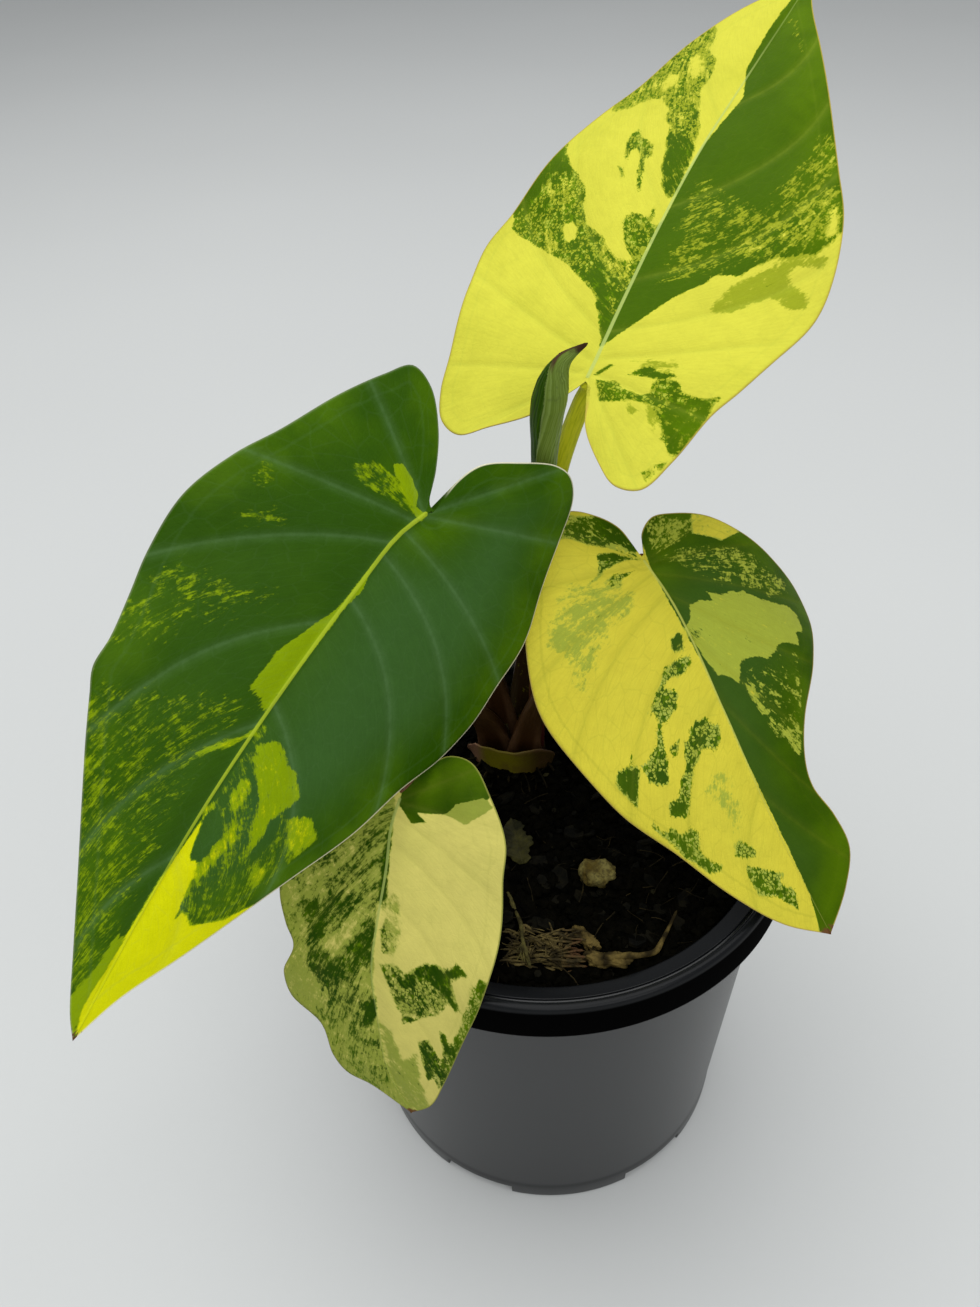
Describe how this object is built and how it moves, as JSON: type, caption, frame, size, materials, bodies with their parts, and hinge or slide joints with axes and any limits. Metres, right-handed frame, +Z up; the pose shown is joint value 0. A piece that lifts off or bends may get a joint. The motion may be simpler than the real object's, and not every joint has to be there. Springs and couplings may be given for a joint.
{
  "type": "potted variegated arrowleaf elephant ear",
  "caption": "Potted aroid with arrow-shaped, yellow and green marbled leaves on thin stalks and a rolled new leaf, in a small black nursery pot.",
  "frame": {"origin": "centre of the pot's underside, on the surface it stands on", "axes": "+Z up, -Y towards the viewer's side of the plant"},
  "size_m": [0.1367, 0.1694, 0.2313],
  "materials": {
    "pot_plastic": "satin moulded black plastic, smoother on the rim",
    "potting_mix": "matt, coarse and dark, moist bark and peat mix",
    "stem_base": "dull dark red brown with dry fibres",
    "old_sheath": "drying sheath, yellow green below and pink at its edge",
    "rolled_leaf": "satin green with fine lengthwise veins",
    "stalk_yellow": "satin yellow green",
    "stalk_red": "satin, dark red brown below and green above",
    "leaf_back": "satin, bright yellow with dark green marbling",
    "leaf_left": "satin, deep bluish green with yellow green streaks",
    "leaf_right": "satin, one half yellow and one half green",
    "leaf_low": "satin, cream and grey olive with green streaks",
    "pale_grain": "rough pale mineral",
    "dead_leaf": "matt dead leaf",
    "root_fibre": "matt brown fibres",
    "bark": "matt weathered bark"
  },
  "bodies": {
    "root": {"pot": "pot_plastic", "soil": "potting_mix", "stem_base": "stem_base", "collar_sheath": "old_sheath", "rolled_leaf": "rolled_leaf", "leaf_stalk_back": "stalk_yellow", "leaf_stalk_left": "stalk_red", "leaf_stalk_right": "stalk_red", "leaf_stalk_low": "stalk_red", "leaf_blade_back": "leaf_back", "leaf_blade_left": "leaf_left", "leaf_blade_right": "leaf_right", "leaf_blade_low": "leaf_low", "perlite_grain": "pale_grain", "leaf_scrap": "dead_leaf", "fibre_mat": "root_fibre", "bark_chip": "bark", "bark_crumb": "bark", "root_strand": "root_fibre", "twig": "bark"}
  },
  "joints": []
}
